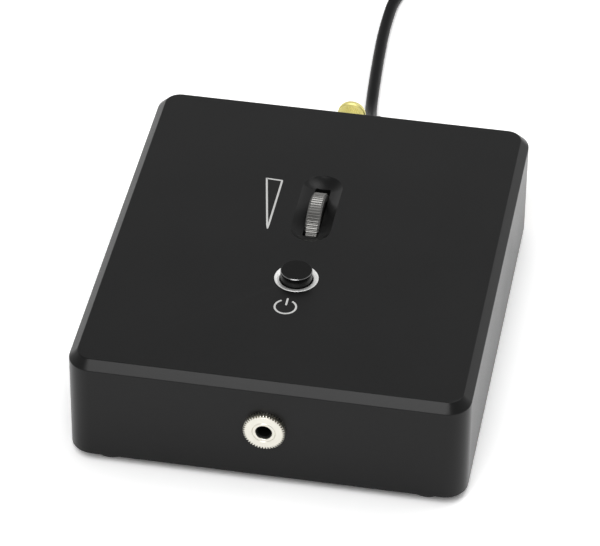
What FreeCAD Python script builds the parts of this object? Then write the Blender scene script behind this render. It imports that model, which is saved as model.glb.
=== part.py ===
import FreeCAD
import Part
import math
import os

# Phono preamp with a headphone output, in millimetres. +Z is up, the front faces -Y, and z = 0 is the desk.
# The origin lies under the middle of the box that holds the object without its supply lead.

# Milled housing
housing_width = 104.0
housing_depth = 122.0
housing_height = 30.0
housing_corner = 6.3
top_chamfer = 2.25
wall = 4.0
roof = 3.5
cavity_corner = 3.0
boss_size = 8.0
boss_corner = 3.5

# Base plate, feet and the screws that hold both
plate_thickness = 2.0
plate_lip = 2.0
plate_gap = 0.15
foot_height = 3.0
foot_radius = 5.0
foot_sole_radius = 4.6
foot_recess_radius = 3.0
foot_recess_depth = 2.0
foot_edge = 0.6
foot_in_x = 10.5
foot_in_y = 7.5
screw_radius = 1.5
screw_clearance = 0.02
screw_hole_clearance = 0.2
screw_head_radius = 2.7
screw_head_height = 1.7
screw_grip = 7.0
screw_socket_radius = 1.1
screw_socket_depth = 1.0

# Finger pocket, wheel slot and thumbwheel
volume_y = 14.3
pocket_width = 10.8
pocket_length = 29.2
pocket_depth = 1.8
slot_width = 4.6
slot_length = 21.3
slot_corner = 0.6
wheel_radius = 11.0
wheel_width = 3.8
wheel_proud = 2.4
wheel_teeth = 72
wheel_tooth_depth = 0.35
wheel_edge = 0.3
hub_radius = 4.8
hub_length = 3.6
shaft_radius = 3.0
set_screw_radius = 1.0
set_screw_clearance = 0.05

# Potentiometer and its bracket
pot_nut_gap = 0.8
pot_nut_flats = 8.4
pot_nut_thickness = 1.8
pot_bush_radius = 3.5
pot_bush_clearance = 0.1
pot_shaft_clearance = 0.05
bracket_thickness = 1.2
bracket_width = 15.0
bracket_foot = 12.0
bracket_top_margin = 0.8
pot_case_radius = 4.7
pot_case_drop = 6.5
pot_case_length = 7.0
pot_pin_size = 0.7
pot_pin_pitch = 2.5
pot_pins = 3

# Push button, trim ring and switch
button_y = -16.3
ring_outer_radius = 5.8
ring_width = 1.35
ring_depth = 1.2
ring_proud = 0.05
ring_slope = 0.25
cap_radius = 4.2
cap_clearance = ring_outer_radius - ring_width - cap_radius
cap_proud = 2.65
cap_underside_gap = 2.05
cap_edge = 0.4
switch_size = 8.5
switch_height = 9.0
switch_floor = 1.2
switch_bore_radius = 2.3
plunger_radius = 2.2
plunger_shank = 3.2
plunger_grip = 4.0
plunger_shoulder = 1.0
spring_radius = 2.05
spring_wall = 0.45
spring_length = 4.5
switch_pin_size = 0.7

# Headphone jack
jack_height = 15.8
jack_bore_radius = 1.8
jack_lead_in = 0.35
jack_bush_radius = 3.0
jack_bush_clearance = 0.1
jack_nut_radius = 5.5
jack_nut_thickness = 1.6
jack_nut_teeth = 54
jack_nut_tooth_depth = 0.22
jack_nut_edge = 0.25
jack_block_width = 9.0
jack_block_depth = 12.0
jack_block_above = 4.2
jack_block_wall = 1.2
contact_thickness = 0.4
contact_width = 1.6
contact_spacing = 3.2

# Circuit board and what holds it
board_height = 8.0
board_thickness = 1.6
board_margin = 1.5
board_notch_gap = 1.0
pillar_flats = 5.5
pillar_in_x = 18.0
pillar_in_y = 23.0
board_screw_head_radius = 2.6
board_screw_head_height = 1.6

# Phono sockets
rca_height = 16.0
rca_first_x = 18.5
rca_pitch = 14.0
rca_shell_radius = 4.15
rca_bore_radius = 3.4
rca_thread_radius = 4.6
rca_thread_clearance = 0.1
rca_reach = 9.5
rca_nut_flats = 10.0
rca_nut_thickness = 2.2
rca_insulator_inset = 0.8
rca_contact_radius = 2.1
rca_contact_bore = 1.6
rca_contact_inset = 1.4
rca_block_side = 4.6
rca_block_depth = 12.0
rca_block_above = 6.5
rca_block_corner = 0.8
rca_boss_gap = 0.3

# Ground terminal
ground_x = -1.0
ground_height = 15.8
ground_base_flats = 8.0
ground_base_length = 5.0
ground_post_radius = 2.0
ground_thread_clearance = 0.1
ground_hole_clearance = 0.1
ground_tail = 9.0
ground_tip_inset = 1.0
washer_radius = 4.6
washer_thickness = 1.0
washer_gap = 0.05
neck_radius = 2.75
neck_length = 0.55
lip_radius = 3.0
lip_length = 0.3
neck_clearance = 0.1
knob_radius = 4.0
knob_length = 11.95
knob_teeth = 48
knob_tooth_depth = 0.2
knob_edge = 0.6
locknut_flats = 7.0
locknut_thickness = 3.0
tag_thickness = 0.6
tag_width = 5.0
tag_length = 6.0
ground_wire_radius = 0.7

# Supply lead, its coil and its mains adapter
cord_radius = 1.75
cord_x = 9.0
cord_height = 15.8
grommet_reach = 5.0
grommet_radius = 3.0
grommet_flange_radius = 3.2
grommet_tip_radius = 2.4
grommet_flange = 1.2
grommet_tail = 2.0
conductor_radius = 0.6
coil_turns = 4
coil_pitch = 4.0
coil_layer = 3.95
coil_outer_radius = 29.0
coil_straight = 3.5
tail_lift = 0.05
relief_length = 12.0
relief_root_radius = 3.6
relief_tip_radius = 2.4
relief_height = 6.5
adapter_x = 0.0
adapter_width = 25.0
adapter_length = 45.0
adapter_height = 35.0
adapter_edge = 3.0
adapter_shoulder = 5.0
adapter_shoulder_inset = 3.0
prong_radius = 2.0
prong_length = 19.0
prong_pitch = 19.0

# Levels and faces that the rest is placed from
bottom_z = foot_height
top_z = bottom_z + housing_height
ceiling_z = top_z - roof
plate_z = bottom_z + plate_thickness
board_z = bottom_z + board_height
front_reach = jack_nut_thickness
rear_reach = ground_base_length + washer_thickness + washer_gap + knob_length
middle_y = (front_reach - rear_reach) / 2
front_y = middle_y - housing_depth / 2
rear_y = middle_y + housing_depth / 2
inner_front_y = front_y + wall
inner_rear_y = rear_y - wall
inner_x = housing_width / 2 - wall

axis_x = FreeCAD.Vector(1, 0, 0)
axis_y = FreeCAD.Vector(0, 1, 0)
axis_z = FreeCAD.Vector(0, 0, 1)


def at(x, y, z):
    return FreeCAD.Vector(x, y, z)


def slab(low, high):
    size = high - low
    return Part.makeBox(size.x, size.y, size.z, low)


def rod(radius, length, start, axis):
    return Part.makeCylinder(radius, length, start, axis)


def sleeve(outer, inner, length, start, axis):
    return rod(outer, length, start, axis).cut(rod(inner, length, start, axis))


def aimed(shape, start, axis):
    """Turn a shape that was made along +Z to lie along axis, with its origin at start."""
    moved = shape.copy()
    moved.Placement = FreeCAD.Placement(start, FreeCAD.Rotation(axis_z, axis))
    return moved


def prism(points, length):
    closed = [at(x, y, 0) for x, y in points]
    face = Part.Face(Part.makePolygon(closed + closed[:1]))
    return face.extrude(at(0, 0, length))


def hexagon(flats, length):
    corner = flats / math.sqrt(3)
    angles = [math.radians(30 + 60 * k) for k in range(6)]
    return prism([(corner * math.cos(a), corner * math.sin(a)) for a in angles], length)


def toothed(radius, depth, teeth, length):
    """A disc along +Z with straight V grooves cut round its rim."""
    points = []
    for k in range(2 * teeth):
        reach = radius - depth * (k % 2)
        angle = math.pi * k / teeth
        points.append((reach * math.cos(angle), reach * math.sin(angle)))
    return prism(points, length)


def turned(profile):
    """Revolve a profile of (radius, height) points round +Z."""
    points = [at(r, 0, z) for r, z in profile]
    face = Part.Face(Part.makePolygon(points + points[:1]))
    return face.revolve(at(0, 0, 0), axis_z, 360)


def rounded_slab(width, depth, height, corner, middle):
    """A box with rounded upright edges, middle being the centre of its underside."""
    low = middle - at(width / 2, depth / 2, 0)
    box = slab(low, low + at(width, depth, height))
    upright = [e for e in box.Edges if abs(e.tangentAt(e.FirstParameter).z) > 0.9]
    return box.makeFillet(corner, upright)


def edges_at_height(shape, z):
    return [e for e in shape.Edges if all(abs(v.Z - z) < 1e-6 for v in e.Vertexes)]


def four_corners(x, y):
    return [(sx * x, middle_y + sy * y) for sx in (-1, 1) for sy in (-1, 1)]


def foot_places():
    return four_corners(housing_width / 2 - foot_in_x, housing_depth / 2 - foot_in_y)


def rca_places():
    return [sx * (rca_first_x + k * rca_pitch) for sx in (-1, 1) for k in (0, 1)]


def joined(shapes):
    whole = shapes[0]
    for shape in shapes[1:]:
        whole = whole.fuse(shape)
    return whole.removeSplitter()


def boss_columns(reach):
    """The columns in the corners that the base screws go into, each from its screw to the walls."""
    columns = []
    for x, y in foot_places():
        side = math.copysign(1, x)
        end = math.copysign(1, y - middle_y)
        xs = sorted((x - side * reach, side * (inner_x + 1)))
        ys = sorted((y - end * reach, middle_y + end * (housing_depth / 2 - wall + 1)))
        column = slab(at(xs[0], ys[0], plate_z - 1), at(xs[1], ys[1], ceiling_z + 1))
        inner = [e for e in column.Edges
                 if all(abs(v.X - x + side * reach) < 1e-6 and abs(v.Y - y + end * reach) < 1e-6
                        for v in e.Vertexes)]
        columns.append(column.makeFillet(boss_corner, inner))
    return columns


def milled_cavity():
    """The hollow under the roof, which leaves a column in each corner for the base screws."""
    cavity = rounded_slab(housing_width - 2 * wall, housing_depth - 2 * wall, ceiling_z - plate_z,
                          cavity_corner, at(0, middle_y, plate_z))
    for column in boss_columns(boss_size / 2):
        cavity = cavity.cut(column)
    return cavity


def ball_milled_pocket():
    """The path of a ball-nosed cutter that dips into the top: a capsule along Y."""
    half = pocket_width / 2
    ball = (half ** 2 + pocket_depth ** 2) / (2 * pocket_depth)
    travel = pocket_length - pocket_width
    turn = math.sqrt(0.5) * ball
    profile = Part.Wire([
        Part.LineSegment(at(0, 0, -ball), at(0, 0, travel + ball)).toShape(),
        Part.Arc(at(0, 0, travel + ball), at(turn, 0, travel + turn), at(ball, 0, travel)).toShape(),
        Part.LineSegment(at(ball, 0, travel), at(ball, 0, 0)).toShape(),
        Part.Arc(at(ball, 0, 0), at(turn, 0, -turn), at(0, 0, -ball)).toShape(),
    ])
    capsule = Part.Face(profile).revolve(at(0, 0, 0), axis_z, 360)
    start = at(0, middle_y + volume_y - travel / 2, top_z - pocket_depth + ball)
    return aimed(capsule, start, axis_y)


def housing():
    outside = rounded_slab(housing_width, housing_depth, housing_height, housing_corner,
                           at(0, middle_y, bottom_z))
    body = outside.makeChamfer(top_chamfer, edges_at_height(outside, top_z))
    rebate = rounded_slab(housing_width - 2 * plate_lip, housing_depth - 2 * plate_lip,
                          plate_thickness, housing_corner - plate_lip, at(0, middle_y, bottom_z))
    body = body.cut(rebate).cut(milled_cavity()).cut(ball_milled_pocket())
    slot = rounded_slab(slot_width, slot_length, roof, slot_corner,
                        at(0, middle_y + volume_y, ceiling_z))
    button = at(0, middle_y + button_y, ceiling_z)
    holes = [
        slot,
        rod(cap_radius + cap_clearance, roof, button, axis_z),
        rod(ring_outer_radius, ring_depth, button + at(0, 0, roof - ring_depth), axis_z),
        rod(jack_bush_radius + jack_bush_clearance, wall, at(0, front_y, bottom_z + jack_height), axis_y),
        rod(ground_post_radius + ground_hole_clearance, wall,
            at(ground_x, inner_rear_y, bottom_z + ground_height), axis_y),
        rod(grommet_radius, wall, at(cord_x, inner_rear_y, bottom_z + cord_height), axis_y),
    ]
    holes += [rod(rca_thread_radius + rca_thread_clearance, wall,
                  at(x, inner_rear_y, bottom_z + rca_height), axis_y) for x in rca_places()]
    holes += [rod(screw_radius + screw_clearance, screw_grip + 1, at(x, y, plate_z), axis_z)
              for x, y in foot_places()]
    for hole in holes:
        body = body.cut(hole)
    return body


def base_plate():
    inset = 2 * (plate_lip + plate_gap)
    plate = rounded_slab(housing_width - inset, housing_depth - inset, plate_thickness,
                         housing_corner - plate_lip - plate_gap, at(0, middle_y, bottom_z))
    for x, y in foot_places():
        plate = plate.cut(rod(screw_radius + screw_hole_clearance, plate_thickness,
                              at(x, y, bottom_z), axis_z))
    return plate


def feet():
    profile = [(screw_radius + screw_hole_clearance, foot_recess_depth),
               (foot_recess_radius, foot_recess_depth),
               (foot_recess_radius, 0),
               (foot_sole_radius - foot_edge, 0),
               (foot_sole_radius, foot_edge),
               (foot_radius, foot_height),
               (screw_radius + screw_hole_clearance, foot_height)]
    return [aimed(turned(profile), at(x, y, 0), axis_z) for x, y in foot_places()]


def base_screws():
    screws = []
    head_z = foot_recess_depth - screw_head_height
    for x, y in foot_places():
        head = rod(screw_head_radius, screw_head_height, at(x, y, head_z), axis_z)
        socket = aimed(hexagon(2 * screw_socket_radius, screw_socket_depth), at(x, y, head_z), axis_z)
        shank = rod(screw_radius, plate_z + screw_grip - foot_recess_depth,
                    at(x, y, foot_recess_depth), axis_z)
        screws.append(head.cut(socket).fuse(shank))
    return screws


def wheel_axis(x):
    return at(x, middle_y + volume_y, top_z + wheel_proud - wheel_radius)


def volume_wheel():
    rim = toothed(wheel_radius, wheel_tooth_depth, wheel_teeth, wheel_width)
    edge = wheel_edge + wheel_tooth_depth
    core = turned([(0, 0), (wheel_radius - edge, 0), (wheel_radius, edge),
                   (wheel_radius, wheel_width - edge), (wheel_radius - edge, wheel_width),
                   (0, wheel_width)])
    hub = rod(hub_radius, hub_length, at(0, 0, wheel_width), axis_z)
    bore = rod(shaft_radius, wheel_width + hub_length, at(0, 0, 0), axis_z)
    screw = rod(set_screw_radius + set_screw_clearance, hub_radius,
                at(0, 0, wheel_width + hub_length / 2), axis_x)
    wheel = rim.common(core).fuse(hub).cut(bore).cut(screw)
    return aimed(wheel, wheel_axis(-wheel_width / 2), axis_x)


def wheel_set_screw():
    depth = hub_radius - shaft_radius
    screw = rod(set_screw_radius, depth - 0.2, at(shaft_radius, 0, wheel_width + hub_length / 2), axis_x)
    return aimed(screw, wheel_axis(-wheel_width / 2), axis_x)


def hub_end_x():
    return wheel_width / 2 + hub_length


def bracket_x():
    return hub_end_x() + pot_nut_gap + pot_nut_thickness


def pot_case_x():
    return bracket_x() + bracket_thickness


def wheel_shaft():
    length = pot_case_x() + 1 + wheel_width / 2
    return rod(shaft_radius, length, wheel_axis(-wheel_width / 2), axis_x)


def potentiometer_case():
    start = wheel_axis(pot_case_x())
    can = rod(pot_case_radius, pot_case_length, start, axis_x)
    skirt = slab(start - at(0, pot_case_radius, pot_case_drop),
                 start + at(pot_case_length, pot_case_radius, 0))
    bush_start = wheel_axis(hub_end_x() + pot_nut_gap)
    bush = rod(pot_bush_radius, pot_case_x() - bush_start.x, bush_start, axis_x)
    bore = rod(shaft_radius + pot_shaft_clearance, pot_case_x() + 1.1 - bush_start.x, bush_start, axis_x)
    return joined([can, skirt, bush]).cut(bore)


def potentiometer_nut():
    nut = hexagon(pot_nut_flats, pot_nut_thickness)
    nut = nut.cut(rod(pot_bush_radius, pot_nut_thickness, at(0, 0, 0), axis_z))
    return aimed(nut, wheel_axis(hub_end_x() + pot_nut_gap), axis_x)


def potentiometer_bracket():
    centre = wheel_axis(bracket_x())
    half = bracket_width / 2
    upright = slab(at(centre.x, centre.y - half, board_z),
                   at(centre.x + bracket_thickness, centre.y + half, ceiling_z - bracket_top_margin))
    foot = slab(at(centre.x, centre.y - half, board_z),
                at(centre.x + bracket_foot, centre.y + half, board_z + bracket_thickness))
    hole = rod(pot_bush_radius + pot_bush_clearance, bracket_thickness, centre, axis_x)
    opening = slab(at(pot_case_x() + 1, centre.y - pot_pin_pitch - 1.5, board_z),
                   at(pot_case_x() + bracket_foot, centre.y + pot_pin_pitch + 1.5,
                      board_z + bracket_thickness))
    bracket = joined([upright, foot]).cut(hole).cut(opening)
    for y in bracket_screw_ys():
        bracket = bracket.cut(rod(screw_radius + screw_hole_clearance, bracket_thickness,
                                  at(bracket_screw_x(), y, board_z), axis_z))
    return bracket


def bracket_screw_x():
    return bracket_x() + bracket_foot - 3.2


def bracket_screw_ys():
    return [wheel_axis(0).y + side * (bracket_width / 2 - 2.8) for side in (-1, 1)]


def small_screw(x, y, seat_z, depth):
    head = rod(board_screw_head_radius, board_screw_head_height, at(x, y, seat_z), axis_z)
    slot = slab(at(x - board_screw_head_radius, y - 0.3, seat_z + board_screw_head_height - 0.6),
                at(x + board_screw_head_radius, y + 0.3, seat_z + board_screw_head_height))
    shank = rod(screw_radius, depth, at(x, y, seat_z - depth), axis_z)
    return head.cut(slot).fuse(shank)


def bracket_screws():
    seat = board_z + bracket_thickness
    return [small_screw(bracket_screw_x(), y, seat, bracket_thickness + board_thickness)
            for y in bracket_screw_ys()]


def potentiometer_pins():
    centre = wheel_axis(pot_case_x() + pot_case_length / 2)
    top = centre.z - pot_case_drop
    half = pot_pin_size / 2
    first = -(pot_pins - 1) / 2
    return [slab(at(centre.x - half, centre.y + (first + k) * pot_pin_pitch - half, board_z - board_thickness),
                 at(centre.x + half, centre.y + (first + k) * pot_pin_pitch + half, top))
            for k in range(pot_pins)]


def button_ring():
    inner = ring_outer_radius - ring_width
    height = ring_depth + ring_proud
    profile = [(inner, 0), (ring_outer_radius, 0), (ring_outer_radius, ring_depth),
               (ring_outer_radius - 0.1, height), (inner, height - ring_slope)]
    return aimed(turned(profile), at(0, middle_y + button_y, top_z - ring_depth), axis_z)


def cap_top_z():
    return top_z + cap_proud


def stem_top_z():
    return board_z + switch_height + plunger_shoulder


def cap_bottom_z():
    return stem_top_z() + cap_underside_gap


def plunger_top_z():
    return cap_bottom_z() + plunger_grip


def power_button():
    length = cap_top_z() - cap_bottom_z()
    cap = turned([(0, 0), (cap_radius, 0), (cap_radius, length - cap_edge),
                  (cap_radius - cap_edge, length), (0, length)])
    cap = aimed(cap, at(0, middle_y + button_y, cap_bottom_z()), axis_z)
    half = plunger_shank / 2
    y = middle_y + button_y
    socket = slab(at(-half, y - half, cap_bottom_z()), at(half, y + half, plunger_top_z()))
    return cap.cut(socket)


def spring_seat_z():
    return board_z + switch_floor + spring_length


def switch_plunger():
    y = middle_y + button_y
    stem_top = stem_top_z()
    stem = rod(plunger_radius, stem_top - spring_seat_z(), at(0, y, spring_seat_z()), axis_z)
    half = plunger_shank / 2
    shank = slab(at(-half, y - half, stem_top), at(half, y + half, plunger_top_z()))
    shank = shank.common(rod(plunger_radius, plunger_top_z() - stem_top, at(0, y, stem_top), axis_z))
    return joined([stem, shank])


def switch_case():
    half = switch_size / 2
    y = middle_y + button_y
    case = slab(at(-half, y - half, board_z), at(half, y + half, board_z + switch_height))
    case = case.makeChamfer(0.5, edges_at_height(case, board_z + switch_height))
    return case.cut(rod(switch_bore_radius, switch_height, at(0, y, board_z + switch_floor), axis_z))


def switch_spring():
    """Stands for the coil spring that lifts the plunger."""
    return sleeve(spring_radius, spring_radius - spring_wall, spring_length,
                  at(0, middle_y + button_y, board_z + switch_floor), axis_z)


def switch_pins():
    pins = []
    for sx in (-1, 1):
        for row in (-1, 0, 1):
            middle = at(sx * (switch_size / 2 - 1.5), middle_y + button_y + 2.5 * row, board_z)
            corner = at(switch_pin_size / 2, switch_pin_size / 2, 0)
            pins.append(slab(middle - corner - at(0, 0, board_thickness + 1), middle + corner))
    return pins


def jack_axis(y):
    return at(0, y, bottom_z + jack_height)


def jack_nut():
    nut = toothed(jack_nut_radius, jack_nut_tooth_depth, jack_nut_teeth, jack_nut_thickness)
    edge = jack_nut_edge + jack_nut_tooth_depth
    core = turned([(jack_bush_radius, 0), (jack_nut_radius, 0),
                   (jack_nut_radius, jack_nut_thickness - edge),
                   (jack_nut_radius - edge, jack_nut_thickness),
                   (jack_bush_radius, jack_nut_thickness)])
    return aimed(nut.common(core), jack_axis(front_y), -axis_y)


def jack_bush():
    length = wall + jack_nut_thickness
    bush = rod(jack_bush_radius, length, jack_axis(front_y - jack_nut_thickness), axis_y)
    bore = rod(jack_bore_radius, length, jack_axis(front_y - jack_nut_thickness), axis_y)
    mouth = Part.makeCone(jack_bore_radius + jack_lead_in, jack_bore_radius, jack_lead_in,
                          jack_axis(front_y - jack_nut_thickness), axis_y)
    return bush.cut(bore).cut(mouth)


def jack_block():
    half = jack_block_width / 2
    top = bottom_z + jack_height + jack_block_above
    block = slab(at(-half, inner_front_y, board_z), at(half, inner_front_y + jack_block_depth, top))
    block = block.makeChamfer(0.6, edges_at_height(block, top))
    bore = rod(jack_bush_radius - 0.4, jack_block_depth - jack_block_wall,
               jack_axis(inner_front_y), axis_y)
    return block.cut(bore)


def jack_contacts():
    """Three spring leaves down the block's sides and through the board."""
    half = jack_block_width / 2
    leaves = []
    for k, side in enumerate((-1, 1, -1)):
        y = inner_front_y + 2.5 + k * contact_spacing
        xs = sorted((side * half, side * (half + contact_thickness)))
        leaves.append(slab(at(xs[0], y, board_z - board_thickness - 1),
                           at(xs[1], y + contact_width, bottom_z + jack_height)))
    return leaves


def board_outline():
    half_x = inner_x - board_margin
    half_y = housing_depth / 2 - wall - board_margin
    notch_x = housing_width / 2 - foot_in_x - boss_size / 2 - board_notch_gap
    notch_y = housing_depth / 2 - foot_in_y - boss_size / 2 - board_notch_gap
    return half_x, half_y, notch_x, notch_y


def circuit_board():
    half_x, half_y, notch_x, notch_y = board_outline()
    low = board_z - board_thickness
    board = slab(at(-half_x, middle_y - notch_y, low), at(half_x, middle_y + notch_y, board_z))
    board = board.fuse(slab(at(-notch_x, middle_y - half_y, low), at(notch_x, middle_y + half_y, board_z)))
    board = board.removeSplitter()
    holes = [rod(screw_radius, board_thickness, at(x, y, low), axis_z) for x, y in pillar_places()]
    holes += [rod(screw_radius, board_thickness, at(bracket_screw_x(), y, low), axis_z)
              for y in bracket_screw_ys()]
    pins = potentiometer_pins() + switch_pins()
    pins += jack_contacts() + op_amp_legs() + regulator_legs()
    for hole in holes + pins:
        board = board.cut(hole)
    return board


def pillar_places():
    return four_corners(housing_width / 2 - pillar_in_x, housing_depth / 2 - pillar_in_y)


def board_pillars():
    height = board_z - board_thickness - plate_z
    pillar = hexagon(pillar_flats, height).cut(rod(screw_radius, height, at(0, 0, 0), axis_z))
    return [aimed(pillar, at(x, y, plate_z), axis_z) for x, y in pillar_places()]


def board_screws():
    depth = board_z - plate_z
    return [small_screw(x, y, board_z, depth) for x, y in pillar_places()]


def rca_axis(x, y):
    return at(x, y, bottom_z + rca_height)


def rca_shells():
    shells = []
    thread = wall + rca_nut_thickness
    for x in rca_places():
        root = rod(rca_thread_radius, thread, rca_axis(x, inner_rear_y), axis_y)
        front = rod(rca_shell_radius, rca_reach - rca_nut_thickness,
                    rca_axis(x, rear_y + rca_nut_thickness), axis_y)
        bore = rod(rca_bore_radius, wall + rca_reach, rca_axis(x, inner_rear_y), axis_y)
        shells.append(root.fuse(front).cut(bore))
    return shells


def rca_insulators(x):
    length = wall + rca_reach - rca_insulator_inset
    return sleeve(rca_bore_radius, rca_contact_radius, length, rca_axis(x, inner_rear_y), axis_y)


def rca_contacts():
    length = wall + rca_reach - rca_contact_inset
    return [sleeve(rca_contact_radius, rca_contact_bore, length, rca_axis(x, inner_rear_y), axis_y)
            for x in rca_places()]


def rca_nuts():
    nuts = []
    for x in rca_places():
        nut = hexagon(rca_nut_flats, rca_nut_thickness)
        nut = nut.cut(rod(rca_thread_radius, rca_nut_thickness, at(0, 0, 0), axis_z))
        nuts.append(aimed(nut, rca_axis(x, rear_y), axis_y))
    return nuts


def rca_blocks():
    blocks = []
    for side in (-1, 1):
        middle = side * (rca_first_x + rca_pitch / 2)
        half = rca_pitch / 2 + rca_block_side
        top = bottom_z + rca_height + rca_block_above
        block = slab(at(middle - half, inner_rear_y - rca_block_depth, board_z),
                     at(middle + half, inner_rear_y, top))
        block = block.makeChamfer(rca_block_corner, edges_at_height(block, top))
        for column in boss_columns(boss_size / 2 + rca_boss_gap):
            block = block.cut(column)
        blocks.append(block)
    return blocks


def ground_axis(y):
    return at(ground_x, y, bottom_z + ground_height)


def washer_y():
    return rear_y + ground_base_length


def knob_y():
    return washer_y() + washer_thickness + washer_gap


def ground_post():
    length = ground_tail + wall + rear_reach - ground_tip_inset
    post = rod(ground_post_radius, length, ground_axis(inner_rear_y - ground_tail), axis_y)
    base = aimed(hexagon(ground_base_flats, ground_base_length), ground_axis(rear_y), axis_y)
    return joined([base, post])


def ground_washer():
    """The wire is held under it; a counterbore takes the swaged lip of the knob's neck."""
    bore = neck_radius + neck_clearance
    recess = washer_gap + washer_thickness - neck_length
    washer = sleeve(washer_radius, bore, washer_thickness, ground_axis(washer_y()), axis_y)
    return washer.cut(rod(lip_radius + neck_clearance, recess, ground_axis(washer_y()), axis_y))


def ground_knob():
    bore = ground_post_radius + ground_thread_clearance
    knurl = toothed(knob_radius, knob_tooth_depth, knob_teeth, knob_length)
    core = turned([(bore, 0), (knob_radius - knob_edge, 0), (knob_radius, knob_edge),
                   (knob_radius, knob_length - knob_edge), (knob_radius - knob_edge, knob_length),
                   (bore, knob_length)])
    knob = aimed(knurl.common(core), ground_axis(knob_y()), axis_y)
    neck = sleeve(neck_radius, bore, neck_length, ground_axis(knob_y() - neck_length), axis_y)
    lip = sleeve(lip_radius, bore, lip_length, ground_axis(knob_y() - neck_length - lip_length), axis_y)
    return joined([knob, neck, lip])


def ground_tag():
    y = inner_rear_y - tag_thickness
    centre = ground_axis(y)
    half = tag_width / 2
    ring = rod(half, tag_thickness, centre, axis_y)
    tongue = slab(centre - at(half, 0, tag_length), centre + at(half, tag_thickness, 0))
    return joined([ring, tongue]).cut(rod(ground_post_radius, tag_thickness, centre, axis_y))


def ground_locknut():
    nut = hexagon(locknut_flats, locknut_thickness)
    nut = nut.cut(rod(ground_post_radius, locknut_thickness, at(0, 0, 0), axis_z))
    return aimed(nut, ground_axis(inner_rear_y - tag_thickness - locknut_thickness), axis_y)


def ground_wire():
    """From the tag's tongue down to the board."""
    start = ground_axis(inner_rear_y - tag_thickness) - at(0, 0, tag_length - 1.5)
    y = start.y - ground_wire_radius
    top = at(start.x, y, start.z)
    return rod(ground_wire_radius, top.z - board_z, at(top.x, top.y, board_z), axis_z)


def cord_axis(y):
    return at(cord_x, y, bottom_z + cord_height)


def cord_grommet():
    root = wall + grommet_tail
    profile = [(cord_radius, 0), (grommet_radius + 0.6, 0), (grommet_radius + 0.6, grommet_tail),
               (grommet_radius, grommet_tail), (grommet_radius, root), (grommet_flange_radius, root),
               (grommet_flange_radius, root + grommet_flange),
               (grommet_tip_radius, root + grommet_reach), (cord_radius, root + grommet_reach)]
    return aimed(turned(profile), cord_axis(inner_rear_y - grommet_tail), axis_y)


def supply_wires():
    """The lead's end inside the grommet, and its two conductors down to the board."""
    inner = inner_rear_y - grommet_tail - 2
    sheath = rod(cord_radius, rear_y + grommet_reach - inner, cord_axis(inner), axis_y)
    wires = [sheath]
    for side in (-1, 1):
        x = cord_x + side * conductor_radius * 1.2
        start = at(x, inner, bottom_z + cord_height)
        path = rounded_path([start, start - at(0, 4, 0), start - at(0, 7, 4),
                             at(x, inner - 7, board_z)])
        wires.append(swept(path, start, conductor_radius))
    return wires


def rounded_path(points):
    """Straight runs joined by tangent arcs, each as large as its two runs allow."""
    edges = []
    radii = []
    start = points[0]
    for before, corner, after in zip(points, points[1:], points[2:]):
        into = (corner - before).normalize()
        out = (after - corner).normalize()
        turn = into.getAngle(out)
        shorter = min(before.distanceToPoint(corner), corner.distanceToPoint(after))
        reach = 0.45 * shorter
        radius = reach / math.tan(turn / 2)
        radii.append(radius)
        first = corner - into * reach
        last = corner + out * reach
        inward = (out - into).normalize()
        centre = corner + inward * math.hypot(radius, reach)
        middle = centre - inward * radius
        edges.append(Part.LineSegment(start, first).toShape())
        edges.append(Part.Arc(first, middle, last).toShape())
        start = last
    edges.append(Part.LineSegment(start, points[-1]).toShape())
    print("arc radii", [round(r, 1) for r in radii])
    return Part.Wire(edges)


def swept(path, place, radius):
    """A tube of eight flats along a path, with its section set at an end that points along Y."""
    corner = radius / math.cos(math.pi / 8)
    ring = [place + at(corner * math.cos(a), 0, corner * math.sin(a))
            for a in (math.pi * (2 * k + 1) / 8 for k in range(8))]
    tube = path.makePipeShell([Part.makePolygon(ring + ring[:1])], True, False)
    area = 8 * radius ** 2 * math.tan(math.pi / 8)
    print("tube volume over section times length", round(tube.Volume / (area * path.Length), 4))
    return tube


def coil_centre():
    return at(coil_start().x - coil_outer_radius, coil_start().y, cord_radius)


def coil_start():
    end = lead_points()[-1]
    return at(end.x, end.y + coil_straight, end.z)


def lead_points():
    """The route from the grommet down to the desk and back to the coil, chosen by hand."""
    z = bottom_z + cord_height
    floor = cord_radius
    return [
        at(cord_x, rear_y + grommet_reach, z),
        at(cord_x, rear_y + 13.2, z),
        at(7.8, rear_y + 21.4, z - 3.4),
        at(4.6, rear_y + 31.7, z - 13.2),
        at(1.7, rear_y + 41.2, floor),
        at(0.6, rear_y + 53.5, floor),
        at(-0.7, rear_y + 69.5, floor),
        at(-2.2, rear_y + 86.0, floor),
        at(-2.3, rear_y + 105.0, floor),
        at(8.3, rear_y + 124.5, floor),
        at(8.3, rear_y + 136.5, floor),
    ]


def tail_points():
    """From the top of the coil down to the desk and up into the adapter's relief."""
    start = coil_start() + at(0, coil_straight, coil_layer)
    return [
        start,
        start + at(0, 8, 0),
        at(adapter_x + 6.3, start.y + 20, cord_radius + tail_lift),
        at(adapter_x + 2.6, start.y + 31, cord_radius + tail_lift),
        at(adapter_x, start.y + 43, relief_height),
        at(adapter_x, start.y + 52, relief_height),
    ]


def power_cord():
    return swept(rounded_path(lead_points()), lead_points()[-1], cord_radius)


def adapter_lead():
    return swept(rounded_path(tail_points()), tail_points()[0], cord_radius)


def spiral_point(turn):
    """A point of the coil's centreline: in for coil_turns, out for as many, a layer higher."""
    angle = 2 * math.pi * turn
    radius = coil_outer_radius - coil_pitch * (coil_turns - abs(turn - coil_turns))
    climb = min(max((turn - coil_turns + 0.25) / 0.5, 0), 1)
    rise = coil_layer * climb * climb * (3 - 2 * climb)
    return coil_centre() + at(radius * math.cos(angle), radius * math.sin(angle), rise)


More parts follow.
